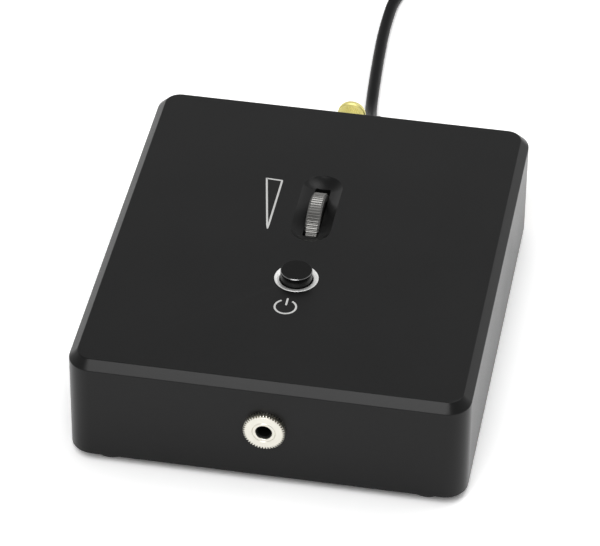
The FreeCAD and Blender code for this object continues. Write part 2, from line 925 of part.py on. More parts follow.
def biarc(start, start_way, end, end_way):
    """Two arcs that leave start along start_way and reach end along end_way."""
    chord = end - start
    both = start_way + end_way
    spread = 2 * (1 - start_way.dot(end_way))
    along = chord.dot(both)
    reach = (math.sqrt(along ** 2 + spread * chord.dot(chord)) - along) / spread
    joint = (start + end + (start_way - end_way) * reach) * 0.5
    arcs = []
    for a, corner, b in ((start, start + start_way * reach, joint), (joint, end - end_way * reach, end)):
        middle = (a + b) * 0.5
        rise = corner - middle
        half = a.distanceToPoint(b) / 2
        sagitta = half * math.tan(math.atan2(rise.Length, half) / 2)
        arcs.append(Part.Arc(a, middle + rise.normalize() * sagitta, b).toShape())
    return arcs


def cord_coil():
    """The put-away length: one unbroken tube of eight flats, in two layers of loops."""
    step = 1e-4
    quarter = 0.25
    count = round(2 * coil_turns / quarter)
    turns = [k * quarter for k in range(count + 1)]
    ways = [(spiral_point(t + step) - spiral_point(t - step)).normalize() for t in turns]
    ways[0] = at(0, 1, 0)
    ways[-1] = at(0, 1, 0)
    places = [spiral_point(t) for t in turns]
    lead_in = places[0] - at(0, coil_straight, 0)
    lead_out = places[-1] + at(0, coil_straight, 0)
    edges = [Part.LineSegment(lead_in, places[0]).toShape()]
    for k in range(count):
        edges += biarc(places[k], ways[k], places[k + 1], ways[k + 1])
    edges.append(Part.LineSegment(places[-1], lead_out).toShape())
    path = Part.Wire(edges)
    print("coil length", round(path.Length, 1), "least gap", round(least_gap(edges), 2))
    return swept(path, lead_in, cord_radius)


def least_gap(edges):
    """The smallest clear distance between two loops, measured on points along the centreline."""
    points = []
    travelled = 0.0
    for edge in edges:
        steps = 8
        for k in range(steps):
            place = edge.valueAt(edge.FirstParameter
                                 + (edge.LastParameter - edge.FirstParameter) * k / steps)
            points.append((travelled + edge.Length * k / steps, place))
        travelled += edge.Length
    nearest = min(a.distanceToPoint(b) for i, (s, a) in enumerate(points)
                  for t, b in points[i + 1:] if t - s > 10 * cord_radius)
    return nearest - 2 * cord_radius


def adapter_face():
    return tail_points()[-1] + at(0, relief_length, 0)


def adapter_relief():
    profile = [(0, 0), (relief_tip_radius, 0), (relief_root_radius, relief_length * 0.8),
               (relief_root_radius, relief_length), (0, relief_length)]
    return aimed(turned(profile), tail_points()[-1], axis_y)


def adapter_body():
    face = adapter_face()
    body = slab(at(face.x - adapter_width / 2, face.y, 0),
                at(face.x + adapter_width / 2, face.y + adapter_length - adapter_shoulder, adapter_height))
    body = body.makeChamfer(adapter_edge, body.Edges)
    inset = adapter_shoulder_inset
    plug = slab(at(face.x - adapter_width / 2 + inset, face.y + adapter_length / 2, inset),
                at(face.x + adapter_width / 2 - inset, face.y + adapter_length, adapter_height - inset))
    long_way = [e for e in plug.Edges if abs(e.tangentAt(e.FirstParameter).y) > 0.9]
    return body.fuse(plug.makeChamfer(adapter_edge, long_way)).removeSplitter()


def adapter_pins():
    """Two mains pins, one above the other, because the adapter lies on its side."""
    face = adapter_face()
    edge = prong_radius * 0.5
    pin = turned([(0, 0), (prong_radius, 0), (prong_radius, prong_length - edge),
                  (prong_radius - edge, prong_length), (0, prong_length)])
    return [aimed(pin, at(face.x, face.y + adapter_length, adapter_height / 2 + side * prong_pitch / 2), axis_y)
            for side in (-1, 1)]


# What stands on the board
op_amp_size = (6.4, 9.6, 3.3)
op_amp_lift = 0.5
op_amp_places = ((-26.0, -12.0), (-26.0, 12.0))
leg_size = 0.5
leg_pitch = 2.54
leg_rows = 4
can_radius = 5.0
can_height = 12.0
can_edge = 0.5
film_size = (4.5, 7.2, 8.0)
film_places = ((-38.0, -6.0), (-38.0, 6.0), (-13.0, 30.0), (-13.0, -8.0))
regulator_size = (10.0, 4.5, 9.0)
regulator_tab_height = 15.0
regulator_tab_thickness = 1.3
regulator_place = (24.0, 30.0)
resistor_radius = 1.2
resistor_length = 6.3
resistor_places = ((-34.0, 20.0), (-34.0, 24.0), (-34.0, 28.0), (-22.0, 28.0),
                   (24.0, -8.0), (24.0, -12.0), (36.0, 4.0), (36.0, 8.0))


def op_amps():
    width, depth, height = op_amp_size
    chips = []
    for x, y in op_amp_places:
        low = at(x - width / 2, middle_y + y - depth / 2, board_z + op_amp_lift)
        chip = slab(low, low + at(width, depth, height))
        notch = rod(0.9, 0.5, at(x, low.y, low.z + height - 0.5), axis_z)
        chips.append(chip.cut(notch))
    return chips


def op_amp_legs():
    """The eight legs of each chip, from its sides through the board."""
    width, _, height = op_amp_size
    legs = []
    for x, y in op_amp_places:
        for side in (-1, 1):
            xs = sorted((x + side * width / 2, x + side * (width / 2 + leg_size)))
            for k in range(leg_rows):
                mid = middle_y + y + (k - (leg_rows - 1) / 2) * leg_pitch
                legs.append(slab(at(xs[0], mid - leg_size / 2, board_z - board_thickness - 0.8),
                                 at(xs[1], mid + leg_size / 2, board_z + op_amp_lift + height / 2)))
    return legs


def can_places():
    """Beside the front pillars, and one at the board's right edge."""
    pillar_x = housing_width / 2 - pillar_in_x
    pillar_y = housing_depth / 2 - pillar_in_y
    edge_x = board_outline()[0]
    return [(10 - pillar_x, -pillar_y), (22 - pillar_x, 1 - pillar_y), (pillar_x - 12, -pillar_y),
            (edge_x - 8.5, 18 - pillar_y)]


def capacitor_cans():
    profile = [(0, 0), (can_radius, 0), (can_radius, can_height - can_edge),
               (can_radius - can_edge, can_height), (0, can_height)]
    return [aimed(turned(profile), at(x, middle_y + y, board_z), axis_z) for x, y in can_places()]


def film_capacitors():
    width, depth, height = film_size
    pieces = []
    for x, y in film_places:
        low = at(x - width / 2, middle_y + y - depth / 2, board_z)
        piece = slab(low, low + at(width, depth, height))
        pieces.append(piece.makeFillet(0.6, edges_at_height(piece, board_z + height)))
    return pieces


def regulator():
    width, depth, height = regulator_size
    x, y = regulator_place
    low = at(x - width / 2, middle_y + y - depth / 2, board_z)
    case = slab(low, low + at(width, depth - regulator_tab_thickness, height))
    tab = slab(low + at(0, depth - regulator_tab_thickness, 0), low + at(width, depth, regulator_tab_height))
    hole = rod(1.8, regulator_tab_thickness,
               at(x, low.y + depth - regulator_tab_thickness, board_z + regulator_tab_height - 3), axis_y)
    return [case, tab.cut(hole)]


def regulator_legs():
    x, y = regulator_place
    half = leg_size / 2
    return [slab(at(x + k * leg_pitch - half, middle_y + y - half, board_z - board_thickness - 0.8),
                 at(x + k * leg_pitch + half, middle_y + y + half, board_z)) for k in (-1, 0, 1)]


def resistors():
    """Each body has eight flats and lies on one of them."""
    corner = resistor_radius / math.cos(math.pi / 8)
    ring = [(corner * math.cos(a), corner * math.sin(a)) for a in (math.pi * (2 * k + 1) / 8 for k in range(8))]
    return [aimed(prism(ring, resistor_length),
                  at(x - resistor_length / 2, middle_y + y, board_z + resistor_radius), axis_x)
            for x, y in resistor_places]


def write(name, shapes):
    solids = shapes if isinstance(shapes, list) else [shapes]
    bad = [s for s in solids if not s.isValid() or len(s.Solids) != 1]
    if bad:
        print(name, "has", len(bad), "solids that aren't valid")
    solids = [s.Solids[0] for s in solids]
    whole = solids[0] if len(solids) == 1 else Part.makeCompound(solids)
    whole.exportStep(f"parts/{name}.step")


os.makedirs("parts", exist_ok=True)
nodes = {
    "housing": housing(),
    "base_plate": base_plate(),
    "feet": feet(),
    "base_screws": base_screws(),
    "volume_wheel": volume_wheel(),
    "wheel_set_screw": wheel_set_screw(),
    "wheel_shaft": wheel_shaft(),
    "potentiometer_case": potentiometer_case(),
    "potentiometer_nut": potentiometer_nut(),
    "potentiometer_bracket": potentiometer_bracket(),
    "potentiometer_pins": potentiometer_pins(),
    "bracket_screws": bracket_screws(),
    "button_ring": button_ring(),
    "power_button": power_button(),
    "switch_plunger": switch_plunger(),
    "switch_case": switch_case(),
    "switch_spring": switch_spring(),
    "switch_pins": switch_pins(),
    "jack_nut": jack_nut(),
    "jack_bush": jack_bush(),
    "jack_block": jack_block(),
    "jack_contacts": jack_contacts(),
    "circuit_board": circuit_board(),
    "board_pillars": board_pillars(),
    "board_screws": board_screws(),
    "rca_shells": rca_shells(),
    "rca_insulators_white": [rca_insulators(s * rca_first_x) for s in (-1, 1)],
    "rca_insulators_red": [rca_insulators(s * (rca_first_x + rca_pitch)) for s in (-1, 1)],
    "rca_contacts": rca_contacts(),
    "rca_nuts": rca_nuts(),
    "rca_blocks": rca_blocks(),
    "ground_post": ground_post(),
    "ground_washer": ground_washer(),
    "ground_knob": ground_knob(),
    "ground_tag": ground_tag(),
    "ground_locknut": ground_locknut(),
    "ground_wire": ground_wire(),
    "cord_grommet": cord_grommet(),
    "supply_wires": supply_wires(),
    "power_cord": power_cord(),
    "cord_coil": cord_coil(),
    "adapter_lead": adapter_lead(),
    "adapter_relief": adapter_relief(),
    "adapter_body": adapter_body(),
    "adapter_pins": adapter_pins(),
    "op_amps": op_amps(),
    "op_amp_legs": op_amp_legs(),
    "capacitor_cans": capacitor_cans(),
    "film_capacitors": film_capacitors(),
    "regulator": regulator(),
    "regulator_legs": regulator_legs(),
    "resistors": resistors(),
}
for name, shapes in nodes.items():
    write(name, shapes)
print("nodes", len(nodes))
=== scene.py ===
import math

import bpy
from mathutils import Matrix, Vector


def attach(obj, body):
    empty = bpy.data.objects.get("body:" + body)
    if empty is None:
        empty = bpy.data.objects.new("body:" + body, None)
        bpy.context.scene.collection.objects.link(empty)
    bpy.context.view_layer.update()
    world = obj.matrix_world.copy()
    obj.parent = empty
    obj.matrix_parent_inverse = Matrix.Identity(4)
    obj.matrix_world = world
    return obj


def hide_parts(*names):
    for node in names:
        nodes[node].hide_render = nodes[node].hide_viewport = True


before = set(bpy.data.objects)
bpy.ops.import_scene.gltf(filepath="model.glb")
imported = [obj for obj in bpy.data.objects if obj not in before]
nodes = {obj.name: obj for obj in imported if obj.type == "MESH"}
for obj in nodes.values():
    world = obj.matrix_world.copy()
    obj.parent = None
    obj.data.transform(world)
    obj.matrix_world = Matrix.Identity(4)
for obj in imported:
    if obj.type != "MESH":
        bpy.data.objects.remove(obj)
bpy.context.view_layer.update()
mm = 0.001

# where things are, in mm: x to the right, y to the rear, z up from the desk
place = {
    "middleY": -8.2,
    "frontY": -69.2,
    "rearY": 52.8,
    "topZ": 33.0,
    "buttonY": -24.5,
    "wheelY": 6.1,
    "wheelZ": 24.4,
    "jackZ": 18.8,
    "rcaZ": 19.0,
    "rcaX": (-32.5, -18.5, 18.5, 32.5),
    "groundX": -1.0,
    "cordX": 9.0,
    "footX": 41.5,
    "footY": (-61.7, 45.3),
    "sleeveEndY": 315.3,
}


# small helpers for modelling by hand

turns = {
    "up": (0, 0, 0),
    "rear": (-math.pi / 2, 0, 0),
    "front": (math.pi / 2, 0, 0),
    "right": (0, math.pi / 2, 0),
}


def clearSelection():
    if bpy.context.object and bpy.context.object.mode != "OBJECT":
        bpy.ops.object.mode_set(mode="OBJECT")
    bpy.ops.object.select_all(action="DESELECT")


def settle(name):
    # names the new primitive and puts its place in its mesh
    piece = bpy.context.object
    piece.name = name
    piece.data.name = name
    bpy.ops.object.transform_apply(location=True, rotation=True, scale=True)
    return piece


def pick(piece, kind, test):
    # selects vertices or faces by place, and leaves the piece in edit mode
    bpy.ops.object.mode_set(mode="EDIT")
    bpy.ops.mesh.select_mode(type="VERT" if kind == "vertices" else "FACE")
    bpy.ops.mesh.select_all(action="DESELECT")
    bpy.ops.object.mode_set(mode="OBJECT")
    mesh = piece.data
    found = 0
    for item in mesh.vertices if kind == "vertices" else mesh.polygons:
        if test(item):
            item.select = True
            found += 1
    bpy.ops.object.mode_set(mode="EDIT")
    return found


def pickEdges(piece, test):
    bpy.ops.object.mode_set(mode="EDIT")
    bpy.ops.mesh.select_mode(type="EDGE")
    bpy.ops.mesh.select_all(action="DESELECT")
    bpy.ops.object.mode_set(mode="OBJECT")
    mesh = piece.data
    found = 0
    for edge in mesh.edges:
        if test(*[mesh.vertices[i].co for i in edge.vertices]):
            edge.select = True
            found += 1
    bpy.ops.object.mode_set(mode="EDIT")
    return found


def onlyThis(piece):
    clearSelection()
    piece.select_set(True)
    bpy.context.view_layer.objects.active = piece


def modifier(piece, kind, **settings):
    onlyThis(piece)
    bpy.ops.object.modifier_add(type=kind)
    new = piece.modifiers[-1]
    for name, value in settings.items():
        setattr(new, name, value)
    bpy.ops.object.modifier_apply(modifier=new.name)


def soften(piece, width, segments=2, angle=40):
    modifier(piece, "BEVEL", width=width * mm, segments=segments, limit_method="ANGLE",
             angle_limit=math.radians(angle), harden_normals=False)


def smooth(piece, angle=35):
    onlyThis(piece)
    bpy.ops.object.shade_smooth_by_angle(angle=math.radians(angle))


def turnedPiece(name, rings, segments=96):
    # a circle drawn up ring by ring along Z, as on a lathe; a ring of radius 0 closes that end
    clearSelection()
    steps = [ring for ring in rings if ring[0] > 0]
    radius, height = steps[0]
    bpy.ops.mesh.primitive_circle_add(vertices=segments, radius=radius * mm, location=(0, 0, height * mm))
    piece = settle(name)
    isTube = rings[0][0] > 0 and rings[-1][0] > 0
    bpy.ops.object.mode_set(mode="EDIT")
    bpy.ops.mesh.select_mode(type="VERT")
    bpy.ops.mesh.select_all(action="SELECT")
    for nextRadius, nextHeight in steps[1:] + steps[:1] * isTube:
        bpy.ops.mesh.extrude_region_move(
            TRANSFORM_OT_translate={"value": (0, 0, (nextHeight - height) * mm)})
        grow = nextRadius / radius
        bpy.ops.transform.resize(value=(grow, grow, 1), center_override=(0, 0, 0))
        radius, height = nextRadius, nextHeight
    if isTube:
        bpy.ops.mesh.select_all(action="SELECT")
        bpy.ops.mesh.remove_doubles(threshold=1e-7)
    else:
        for ringRadius, ringHeight in (steps[0], steps[-1]):
            pick(piece, "vertices", lambda v: abs(v.co.z - ringHeight * mm) < 1e-7
                 and abs(v.co.xy.length - ringRadius * mm) < 1e-7)
            bpy.ops.mesh.edge_face_add()
    bpy.ops.mesh.select_all(action="SELECT")
    bpy.ops.mesh.normals_make_consistent(inside=False)
    bpy.ops.object.mode_set(mode="OBJECT")
    return piece


def knurl(piece, teeth, depth, radius, low, high, segments):
    # presses straight grooves into a rim of four points a tooth
    step = 2 * math.pi / segments
    pick(piece, "vertices", lambda v: abs(v.co.xy.length - radius * mm) < 2e-6
         and low * mm - 1e-7 <= v.co.z <= high * mm + 1e-7
         and round(math.atan2(v.co.y, v.co.x) / step) % (segments // teeth) in (2, 3))
    shrink = (radius - depth) / radius
    bpy.ops.transform.resize(value=(shrink, shrink, 1), center_override=(0, 0, 0))
    bpy.ops.object.mode_set(mode="OBJECT")


def setDown(piece, direction, spot):
    onlyThis(piece)
    piece.rotation_euler = turns[direction]
    piece.location = [v * mm for v in spot]
    bpy.ops.object.transform_apply(location=True, rotation=True, scale=True)
    return piece


def copied(piece, name):
    twin = piece.copy()
    twin.data = piece.data.copy()
    twin.name = name
    twin.data.name = name
    bpy.context.scene.collection.objects.link(twin)
    return twin


def finishPiece(piece, body, material, replaced=()):
    clearSelection()
    piece.data.materials.clear()
    piece.data.materials.append(material)
    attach(piece, body)
    if replaced:
        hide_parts(*replaced)
    return piece


# shader maths written as sums on sockets


class Wire:
    # an output socket: + - * / add Math nodes, and node() adds any other node
    def __init__(self, tree, socket=None):
        self.tree = tree
        self.socket = socket

    def node(self, kind, settings=None, sockets=None, output=0):
        new = self.tree.nodes.new("ShaderNode" + kind)
        for name, value in (settings or {}).items():
            if name == "stops":
                ramp = new.color_ramp
                while len(ramp.elements) < len(value):
                    ramp.elements.new(1)
                for element, (where, colour) in zip(ramp.elements, value):
                    element.position = where
                    element.color = colour
            else:
                setattr(new, name, value)
        for name, value in (sockets or {}).items():
            if isinstance(value, Wire):
                self.tree.links.new(value.socket, new.inputs[name])
            else:
                new.inputs[name].default_value = value
        return Wire(self.tree, new.outputs[output])

    def maths(self, operation, first, second=0.0):
        return self.node("Math", {"operation": operation}, {0: first, 1: second})

    def __add__(self, other):
        return self.maths("ADD", self, other)

    def __radd__(self, other):
        return self.maths("ADD", other, self)

    def __sub__(self, other):
        return self.maths("SUBTRACT", self, other)

    def __rsub__(self, other):
        return self.maths("SUBTRACT", other, self)

    def __mul__(self, other):
        return self.maths("MULTIPLY", self, other)

    def __rmul__(self, other):
        return self.maths("MULTIPLY", other, self)

    def __truediv__(self, other):
        return self.maths("DIVIDE", self, other)

    def noise(self, scale, detail=2.0, roughness=0.5):
        return self.node("TexNoise", {}, {"Vector": self, "Scale": scale, "Detail": detail,
                                          "Roughness": roughness})

    def between(self, low, high):
        # 0 below low, 1 above high, smooth in between
        return self.node("MapRange", {"interpolation_type": "SMOOTHSTEP"},
                         {"Value": self, "From Min": low, "From Max": high})

    def colours(self, first, second):
        return self.node("Mix", {"data_type": "RGBA"}, {0: self, 6: first, 7: second}, output=2)

    def axisParts(self):
        return [self.node("SeparateXYZ", {}, {0: self}, output=k) for k in range(3)]


def rgb(*values):
    if len(values) == 1:
        values = values * 3
    return (*values, 1.0)


def newMaterial(name, **fixed):
    # a Principled shader; the Wire that comes back is the Object coordinate
    material = bpy.data.materials.new(name)
    material.use_nodes = True
    tree = material.node_tree
    tree.nodes.clear()
    output = tree.nodes.new("ShaderNodeOutputMaterial")
    shader = tree.nodes.new("ShaderNodeBsdfPrincipled")
    tree.links.new(shader.outputs[0], output.inputs[0])
    for name, value in fixed.items():
        shader.inputs[name.replace("_", " ")].default_value = value
    coordinate = Wire(tree).node("TexCoord", output="Object")
    return material, shader, coordinate


def feed(shader, **wires):
    for name, value in wires.items():
        socket = shader.inputs[name.replace("_", " ")]
        if isinstance(value, Wire):
            value.tree.links.new(value.socket, socket)
        else:
            socket.default_value = value


def bump(height, distance, strength=1.0):
    return height.node("Bump", {}, {"Height": height, "Distance": distance, "Strength": strength})


# camera: the photograph's own angle and framing

view = {
    "location": (0.130337, -0.771101, 0.634958),
    "right": (0.98412, 0.17731, 0.00839),
    "up": (-0.11657, 0.60992, 0.78385),
    "back": (0.13387, -0.77237, 0.62090),
    "lens": 222.12,
}
cameraData = bpy.data.cameras.new("camera")
cameraData.lens = view["lens"]
cameraData.sensor_width = 36
cameraData.sensor_fit = "HORIZONTAL"
cameraData.clip_start = 0.02
cameraData.clip_end = 60
camera = bpy.data.objects.new("camera", cameraData)
turn = Matrix((view["right"], view["up"], view["back"])).transposed()
camera.matrix_world = Matrix.Translation(view["location"]) @ turn.to_4x4()
bpy.context.scene.collection.objects.link(camera)
bpy.context.scene.camera = camera
print("camera set")

# the supply lead, from its grommet to its adapter, as one line

lead = {
    "radius": 1.75,
    "down": [(9.0, 57.8, 18.8), (8.8, 64.5, 18.8), (6.4, 72.0, 15.8), (3.4, 82.0, 6.6), (0.9, 92.0, 1.75),
             (-0.4, 106.3, 1.75), (-1.5, 122.3, 1.75), (-2.3, 138.8, 1.75), (-1.7, 157.8, 1.75),
             (8.3, 177.3, 1.75), (8.3, 189.3, 1.75)],
    "coilCentre": (-20.7, 192.8, 1.75),
    "coilRadius": 29.0,
    "coilPitch": 4.0,
    "coilLayer": 3.95,
    "loops": 4,
    "pointsPerLoop": 16,
    "tail": [(8.3, 196.3, 5.7), (8.3, 204.3, 5.7), (6.3, 216.3, 1.8), (2.6, 227.3, 1.8),
             (0.0, 239.3, 6.5), (0.0, 248.3, 6.5)],
    "length": 1.25,
}


def coilPoints(coil):
    # in for as many loops as out, the second layer on top of the first
    x, y, z = coil["coilCentre"]
    points = []
    for k in range(2 * coil["loops"] * coil["pointsPerLoop"] + 1):
        loop = k / coil["pointsPerLoop"]
        radius = coil["coilRadius"] - coil["coilPitch"] * (coil["loops"] - abs(loop - coil["loops"]))
        climb = min(max((loop - coil["loops"] + 0.25) / 0.5, 0), 1)
        rise = coil["coilLayer"] * climb * climb * (3 - 2 * climb)
        angle = 2 * math.pi * loop
        points.append((x + radius * math.cos(angle), y + radius * math.sin(angle), z + rise))
    return points


leadCurve = bpy.data.curves.new("supplyLead", "CURVE")
leadCurve.dimensions = "3D"
leadLine = leadCurve.splines.new("NURBS")
leadPoints = lead["down"] + coilPoints(lead) + lead["tail"]
leadLine.points.add(len(leadPoints) - 1)
for point, spot in zip(leadLine.points, leadPoints):
    point.co = (*[v * mm for v in spot], 1)
leadLine.order_u = 3
leadLine.use_endpoint_u = True
leadLine.resolution_u = 8
leadCurve.bevel_depth = lead["radius"] * mm
leadCurve.bevel_resolution = 5
leadCurve.use_fill_caps = True
supplyLead = bpy.data.objects.new("supplyLead", leadCurve)
bpy.context.scene.collection.objects.link(supplyLead)
leadLine.use_smooth = True
print("supply lead:", len(leadPoints), "points")

# materials


def anodised(name, dark, light, roughness, grain):
    # bead blasted and anodised aluminium: a fine even grain under a satin skin
    material, shader, spot = newMaterial(name, Specular_IOR_Level=0.2)
    fine = spot.noise(grain, 3)
    cloud = spot.noise(38, 2)
    patches = (fine * 0.7 + cloud * 0.3).between(0.32, 0.68)
    feed(shader, Base_Color=patches.colours(rgb(*dark), rgb(*light)),
         Roughness=roughness + (fine - 0.5) * 0.12 + (cloud - 0.5) * 0.05,
         Normal=bump(fine, 0.00002, 0.5))
    return material


def turnedMetal(name, colour, roughness, centre=None, axis="z", pitch=0.12, streak=0.25, grooves=None):
    # lathe marks run round the axis, and painted shade darkens the knurl grooves between the radii of
    # grooves, in mm;
    # without a centre the metal is only cloudy
    material, shader, spot = newMaterial(name, Metallic=1.0)
    cloud = spot.noise(260, 3)
    marks = cloud
    if centre:
        shifted = spot.node("Mapping", {}, {"Vector": spot, "Location": [-v * mm for v in centre]})
        parts = shifted.axisParts()
        across = [p for p, letter in zip(parts, "xyz") if letter != axis]
        reach = across[0] * across[0] + across[1] * across[1]
        reach = reach.maths("SQRT", reach)
        phase = reach * (2 * math.pi / (pitch * mm))
        marks = phase.maths("SINE", phase) * 0.5 + 0.5
        marks = marks * (cloud * 0.6 + 0.4)
    darker = [v * (1 - streak) for v in colour]
    skin = (marks * 0.5 + cloud * 0.5).between(0.2, 0.8).colours(rgb(*darker), rgb(*colour))
    if grooves:
        starts, full, fades, ends = [v * mm for v in grooves]
        # painted shade: the knurl grooves darken to 0.45 of the metal's colour, standing in for the shade
        # between the teeth
        grooveShade = reach.between(starts, full) - reach.between(fades, ends)
        skin = grooveShade.colours(skin, rgb(*[v * 0.45 for v in colour]))
    feed(shader, Base_Color=skin,
         Roughness=roughness + (cloud - 0.5) * 0.14,
         Normal=bump(marks, 0.000008, 0.35))
    return material


def moulded(name, colour, roughness, grain=1400, depth=0.00003, vary=0.15, **fixed):
    # moulded plastic or rubber with a spark-eroded grain
    material, shader, spot = newMaterial(name, **fixed)
    fine = spot.noise(grain, 2)
    cloud = spot.noise(90, 2)
    low = [v * (1 - vary) for v in colour]
    high = [v * (1 + vary) for v in colour]
    patches = (fine * 0.5 + cloud * 0.5).between(0.3, 0.7)
    feed(shader, Base_Color=patches.colours(rgb(*low), rgb(*high)),
         Roughness=roughness + (fine - 0.5) * 0.15,
         Normal=bump(fine, depth, 0.5))
    return material


blackAnodised = anodised("blackAnodised", (0.0028, 0.0029, 0.003), (0.005, 0.0051, 0.0052), 0.31, 4200)
whitePrint = moulded("whitePrint", (0.52, 0.52, 0.51), 0.55, 6000, 0.00001, 0.06)
ringMetal = turnedMetal("ringMetal", (0.92, 0.92, 0.91), 0.55, (0, place["buttonY"], 0), "z", 0.09, 0.08)
# the wheel's knurl grooves, from 10.5 to 10.95 mm out, carry painted shade
wheelMetal = turnedMetal("wheelMetal", (0.25, 0.247, 0.238), 0.36,
                         (0, place["wheelY"], place["wheelZ"]), "x", 0.16, 0.25, (10.5, 10.6, 10.8, 10.95))
nutGold = turnedMetal("nutGold", (0.69, 0.67, 0.60), 0.30, (0, 0, place["jackZ"]), "y", 0.10, 0.06)
groundGold = turnedMetal("groundGold", (0.82, 0.75, 0.30), 0.5,
                         (place["groundX"], 0, place["jackZ"]), "y", 0.14, 0.10)
socketGold = turnedMetal("socketGold", (0.92, 0.76, 0.38), 0.26)
steel = turnedMetal("steel", (0.55, 0.55, 0.56), 0.35)
tinned = turnedMetal("tinned", (0.72, 0.72, 0.70), 0.28)
footRubber = moulded("footRubber", (0.018, 0.018, 0.018), 0.75, 2600, 0.00005)
leadRubber = moulded("leadRubber", (0.003, 0.003, 0.0034), 0.4, 2200, 0.00006, Specular_IOR_Level=0.1)
boreBlack = moulded("boreBlack", (0.004, 0.004, 0.004), 0.5, 2000, 0.00004, Specular_IOR_Level=0.1)
blackPlastic = moulded("blackPlastic", (0.022, 0.022, 0.023), 0.48, 2000, 0.00004)
whitePlastic = moulded("whitePlastic", (0.74, 0.74, 0.72), 0.30, 900, 0.00001, 0.03)
redPlastic = moulded("redPlastic", (0.48, 0.02, 0.02), 0.30, 900, 0.00001, 0.08)
sleevePlastic = moulded("sleevePlastic", (0.02, 0.035, 0.09), 0.25, 700, 0.00001)
filmPlastic = moulded("filmPlastic", (0.40, 0.03, 0.03), 0.35, 700, 0.00002)
resistorPaint = moulded("resistorPaint", (0.12, 0.30, 0.45), 0.45, 900, 0.00002)
wireSkin = moulded("wireSkin", (0.06, 0.30, 0.07), 0.40, 900, 0.00002)


def capMaterial(sizes, centreY):
    # black anodised, with its edge turned bright again after the dye
    material, shader, spot = newMaterial("capAnodised", Specular_IOR_Level=0.12)
    x, y, z = spot.axisParts()
    acrossY = y - centreY * mm
    reach = x * x + acrossY * acrossY
    reach = reach.maths("SQRT", reach)
    rim = sizes["capRadius"] - sizes["edge"]
    sill = sizes["capTop"] - sizes["edge"]
    blend = 0.02
    bare = reach.between(rim * mm, (rim + blend) * mm) * z.between(sill * mm, (sill + blend) * mm)
    fine = spot.noise(5200, 3)
    feed(shader, Base_Color=bare.colours(rgb(0.004), rgb(0.2)), Metallic=bare,
         Roughness=0.24 + (fine - 0.5) * 0.1, Normal=bump(fine, 0.00001, 0.4))
    return material


def boardMaterial():
    # solder mask over copper tracks that show as slightly raised, paler lines
    material, shader, spot = newMaterial("boardGreen")
    x, y, z = spot.axisParts()
    tracks = (x * 900).maths("PINGPONG", x * 900, 1.0) * (y * 700).maths("PINGPONG", y * 700, 1.0)
    mask = (tracks + spot.noise(160, 1) * 0.5).between(0.55, 0.65)
    feed(shader, Base_Color=mask.colours(rgb(0.008, 0.07, 0.03), rgb(0.02, 0.16, 0.07)),
         Roughness=0.32 + spot.noise(700, 2) * 0.1, Normal=bump(mask, 0.00003, 0.6))
    return material


def pinMaterial(sleeveEnd):
    # a black sleeve to halfway along each mains pin, bare metal from there
    material, shader, spot = newMaterial("pinMetal")
    x, y, z = spot.axisParts()
    blend = 0.04
    bare = y.between((sleeveEnd - blend) * mm, (sleeveEnd + blend) * mm)
    cloud = spot.noise(300, 2)
    feed(shader, Base_Color=bare.colours(rgb(0.02), rgb(0.74, 0.74, 0.72)), Metallic=bare,
         Roughness=0.45 - bare * 0.2 + (cloud - 0.5) * 0.1, Normal=bump(bare, 0.00005, 0.8))
    return material


# the cap's material reads these sizes too, so they stand before both
button = {"ringOuter": 5.8, "ringInner": 4.45, "ringBottom": 31.8, "capRadius": 4.2, "capTop": 35.65,
          "capBottom": 23.05, "boreRadius": 2.3, "boreTop": 27.1, "edge": 0.17}
boardGreen = boardMaterial()
capAnodised = capMaterial(button, place["buttonY"])
pinMetal = pinMaterial(place["sleeveEndY"])

nodeFinish = {
    blackAnodised: ["housing", "base_plate"],
    capAnodised: ["power_button"],
    ringMetal: ["button_ring"],
    wheelMetal: ["volume_wheel"],
    nutGold: ["jack_nut", "jack_bush"],
    groundGold: ["ground_post", "ground_washer", "ground_knob"],
    socketGold: ["rca_shells", "rca_contacts", "rca_nuts"],
    steel: ["base_screws", "wheel_set_screw", "wheel_shaft", "potentiometer_case", "potentiometer_nut",
            "potentiometer_bracket", "bracket_screws", "switch_spring", "board_pillars", "board_screws",
            "ground_locknut"],
    tinned: ["potentiometer_pins", "switch_pins", "jack_contacts", "ground_tag", "op_amp_legs",
             "regulator_legs"],
    pinMetal: ["adapter_pins"],
    footRubber: ["feet"],
    leadRubber: ["supply_wires", "power_cord", "cord_coil", "adapter_lead"],
    blackPlastic: ["switch_case", "jack_block", "rca_blocks", "cord_grommet", "adapter_relief",
                   "adapter_body", "op_amps", "regulator"],
    whitePlastic: ["switch_plunger", "rca_insulators_white"],
    redPlastic: ["rca_insulators_red"],
    boardGreen: ["circuit_board"],
    sleevePlastic: ["capacitor_cans"],
    filmPlastic: ["film_capacitors"],
    resistorPaint: ["resistors"],
    wireSkin: ["ground_wire"],
}
for material, names in nodeFinish.items():
    for name in names:
        nodes[name].data.materials.clear()
        nodes[name].data.materials.append(material)
print("materials:", len(nodeFinish))

# housing: the milled shell, its arrises broken by a fine radius

shell = {"merge": 1e-6, "arris": 0.16, "chamferZ": 30.75, "bottomZ": 3.0,
         "halfWidth": 52.0, "halfDepth": 61.0, "cornerReach": 6.4, "topReach": 2.4, "sideReach": 0.05,
         "slotHalf": 2.3, "slotReach": 10.65, "slotCloser": 0.2, "slotLow": 25.0, "slotSlack": (0.02, 0.05)}
housing = copied(nodes["housing"], "milledHousing")
for key in list(housing.keys()):
    del housing[key]
housing.parent = None
onlyThis(housing)
bpy.ops.object.mode_set(mode="EDIT")
bpy.ops.mesh.select_all(action="SELECT")
bpy.ops.mesh.remove_doubles(threshold=shell["merge"])
bpy.ops.mesh.dissolve_limited(angle_limit=math.radians(0.6))
bpy.ops.object.mode_set(mode="OBJECT")


